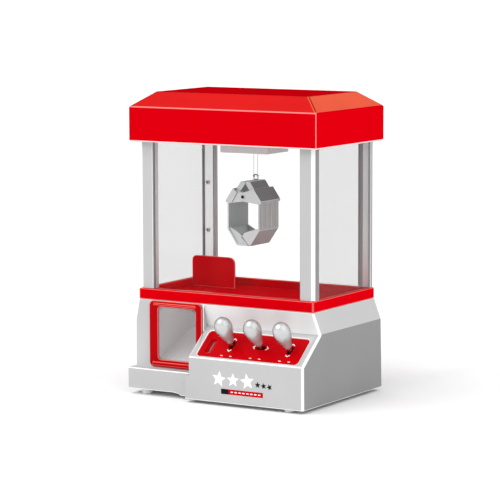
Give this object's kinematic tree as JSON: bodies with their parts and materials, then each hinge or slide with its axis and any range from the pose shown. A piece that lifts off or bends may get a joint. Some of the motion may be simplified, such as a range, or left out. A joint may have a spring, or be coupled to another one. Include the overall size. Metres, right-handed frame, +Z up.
{
  "type": "toy claw crane machine",
  "caption": "Tabletop toy claw crane: red roof with a gantry, clear cabinet, two-scoop claw on strings, red prize tray and chute, silver base with joysticks and a prize flap.",
  "frame": {"origin": "middle of the footprint, joystick knobs included, on the floor under the feet", "axes": "+X to the player's right, +Y to the back, +Z up"},
  "size_m": [0.2522, 0.1966, 0.355],
  "materials": {
    "red_plastic": "glossy moulded red",
    "silver_plastic": "silver paint on moulded plastic",
    "claw_grey": "satin mid grey",
    "light_grey_plastic": "satin light grey",
    "chute_grey": "satin grey",
    "black_plastic": "matt black",
    "clear_plastic": "clear polished",
    "knob_silver": "satin vacuum-metallised silver",
    "steel": "bright",
    "foot_rubber": "milky soft",
    "wheel_rubber": "matt black",
    "board_green": "solder-masked",
    "string_white": "twisted"
  },
  "bodies": {
    "cabinet": {"base_housing": "silver_plastic", "battery_box": "black_plastic", "battery_door": "light_grey_plastic", "bottom_plate": "light_grey_plastic", "chute_partition": "red_plastic", "circuit_board": "board_green", "coin_chute": "chute_grey", "control_panel": "red_plastic", "foot_front_left": "foot_rubber", "foot_front_right": "foot_rubber", "foot_rear_left": "foot_rubber", "foot_rear_right": "foot_rubber", "front_left_post": "silver_plastic", "front_right_post": "silver_plastic", "front_window": "clear_plastic", "joystick_frame": "black_plastic", "left_rail": "steel", "left_window": "clear_plastic", "lower_post_screw": "steel", "play_tray": "red_plastic", "prize_bezel": "red_plastic", "prize_chute": "chute_grey", "rear_left_post": "silver_plastic", "rear_right_post": "silver_plastic", "right_rail": "steel", "right_window": "clear_plastic", "roof_base": "silver_plastic", "roof_shell": "red_plastic", "speaker": "black_plastic", "upper_post_screw": "steel"},
    "left_joystick": {"left_stem": "steel", "left_knob": "knob_silver"},
    "middle_joystick": {"middle_stem": "steel", "middle_knob": "knob_silver"},
    "right_joystick": {"right_stem": "steel", "right_knob": "knob_silver"},
    "prize_flap": {"prize_flap": "clear_plastic"},
    "rear_door": {"rear_door": "clear_plastic"},
    "coin_lever": {"coin_lever": "steel"},
    "power_switch": {"power_switch": "black_plastic"},
    "bridge": {"bridge_end_left": "light_grey_plastic", "bridge_end_right": "light_grey_plastic", "bridge_rod_front": "steel", "bridge_rod_rear": "steel", "bridge_motor": "steel"},
    "bridge_wheel": {"bridge_wheel": "wheel_rubber"},
    "trolley": {"trolley_housing": "light_grey_plastic", "trolley_motor": "steel", "winch_motor": "steel", "hoist_string_left": "string_white", "hoist_string_right": "string_white"},
    "trolley_wheel": {"trolley_wheel": "wheel_rubber"},
    "winch_drum": {"winch_drum": "claw_grey"},
    "winch_pinion": {"winch_pinion": "claw_grey"},
    "claw": {"claw_head": "claw_grey", "claw_pin": "steel", "claw_ring": "steel"},
    "left_scoop": {"left_scoop": "claw_grey"},
    "right_scoop": {"right_scoop": "claw_grey"}
  },
  "joints": [
    {"name": "left_joystick_tilt", "type": "hinge", "parent": "cabinet", "child": "left_joystick", "pos_m": [0.018, -0.06222, 0.06127], "axis": [1, 0, 0], "range_deg": [-16, 16], "stiffness_Nm_per_rad": 0.12},
    {"name": "middle_joystick_tilt", "type": "hinge", "parent": "cabinet", "child": "middle_joystick", "pos_m": [0.0566, -0.06222, 0.06127], "axis": [0, 0.7834, 0.6216], "range_deg": [-16, 16], "stiffness_Nm_per_rad": 0.12},
    {"name": "right_joystick_tilt", "type": "hinge", "parent": "cabinet", "child": "right_joystick", "pos_m": [0.0954, -0.06222, 0.06127], "axis": [1, 0, 0], "range_deg": [-16, 16], "stiffness_Nm_per_rad": 0.12},
    {"name": "prize_flap_hinge", "type": "hinge", "parent": "cabinet", "child": "prize_flap", "pos_m": [-0.0642, -0.05647, 0.1014], "axis": [-1, 0, 0], "range_deg": [0, 80]},
    {"name": "rear_door_hinge", "type": "hinge", "parent": "cabinet", "child": "rear_door", "pos_m": [-0.0986, 0.08463, 0.1251], "axis": [0, 0, 1], "range_deg": [0, 100]},
    {"name": "coin_lever_hinge", "type": "hinge", "parent": "cabinet", "child": "coin_lever", "pos_m": [-0.015, -0.06373, 0.05625], "axis": [0, 0.7834, 0.6216], "range_deg": [0, 18], "stiffness_Nm_per_rad": 0.005},
    {"name": "power_switch_slide", "type": "slide", "parent": "cabinet", "child": "power_switch", "axis": [1, 0, 0], "range_m": [0, 0.006]},
    {"name": "bridge_slide", "type": "slide", "parent": "cabinet", "child": "bridge", "axis": [0, 1, 0], "range_m": [-0.032, 0.012]},
    {"name": "bridge_wheel_spin", "type": "hinge", "parent": "bridge", "child": "bridge_wheel", "pos_m": [0.1035, -0.01707, 0.3208], "axis": [1, 0, 0], "range_deg": [-70, 185]},
    {"name": "trolley_slide", "type": "slide", "parent": "bridge", "child": "trolley", "axis": [1, 0, 0], "range_m": [-0.066, 0.066]},
    {"name": "trolley_wheel_spin", "type": "hinge", "parent": "trolley", "child": "trolley_wheel", "pos_m": [-0.02, 0.02573, 0.3248], "axis": [0, 1, 0], "range_deg": [-545, 545]},
    {"name": "claw_lift", "type": "slide", "parent": "trolley", "child": "claw", "axis": [0, 0, 1], "range_m": [-0.057, 0.02], "deforming": ["hoist_string_left", "hoist_string_right"]},
    {"name": "winch_drum_spin", "type": "hinge", "parent": "trolley", "child": "winch_drum", "pos_m": [-0.0364, 0.01093, 0.3], "axis": [1, 0, 0], "range_deg": [-485, 172]},
    {"name": "winch_pinion_spin", "type": "hinge", "parent": "trolley", "child": "winch_pinion", "pos_m": [-0.012, 0.02542, 0.3], "axis": [1, 0, 0], "range_deg": [-342, 966]},
    {"name": "left_scoop_hinge", "type": "hinge", "parent": "claw", "child": "left_scoop", "pos_m": [-0.005, 0.01692, 0.2329], "axis": [0, 1, 0], "range_deg": [0, 20]},
    {"name": "right_scoop_hinge", "type": "hinge", "parent": "claw", "child": "right_scoop", "pos_m": [-0.005, 0.01692, 0.2329], "axis": [0, -1, 0], "range_deg": [0, 20]}
  ],
  "couplings": [
    {"joint": "bridge_wheel_spin", "follows": "bridge_slide", "rad_per_m": -100},
    {"joint": "trolley_wheel_spin", "follows": "trolley_slide", "rad_per_m": 142.86},
    {"joint": "winch_drum_spin", "follows": "claw_lift", "rad_per_m": 147.06},
    {"joint": "winch_pinion_spin", "follows": "claw_lift", "rad_per_m": -294.12},
    {"joint": "right_scoop_hinge", "follows": "left_scoop_hinge", "ratio": 1}
  ]
}
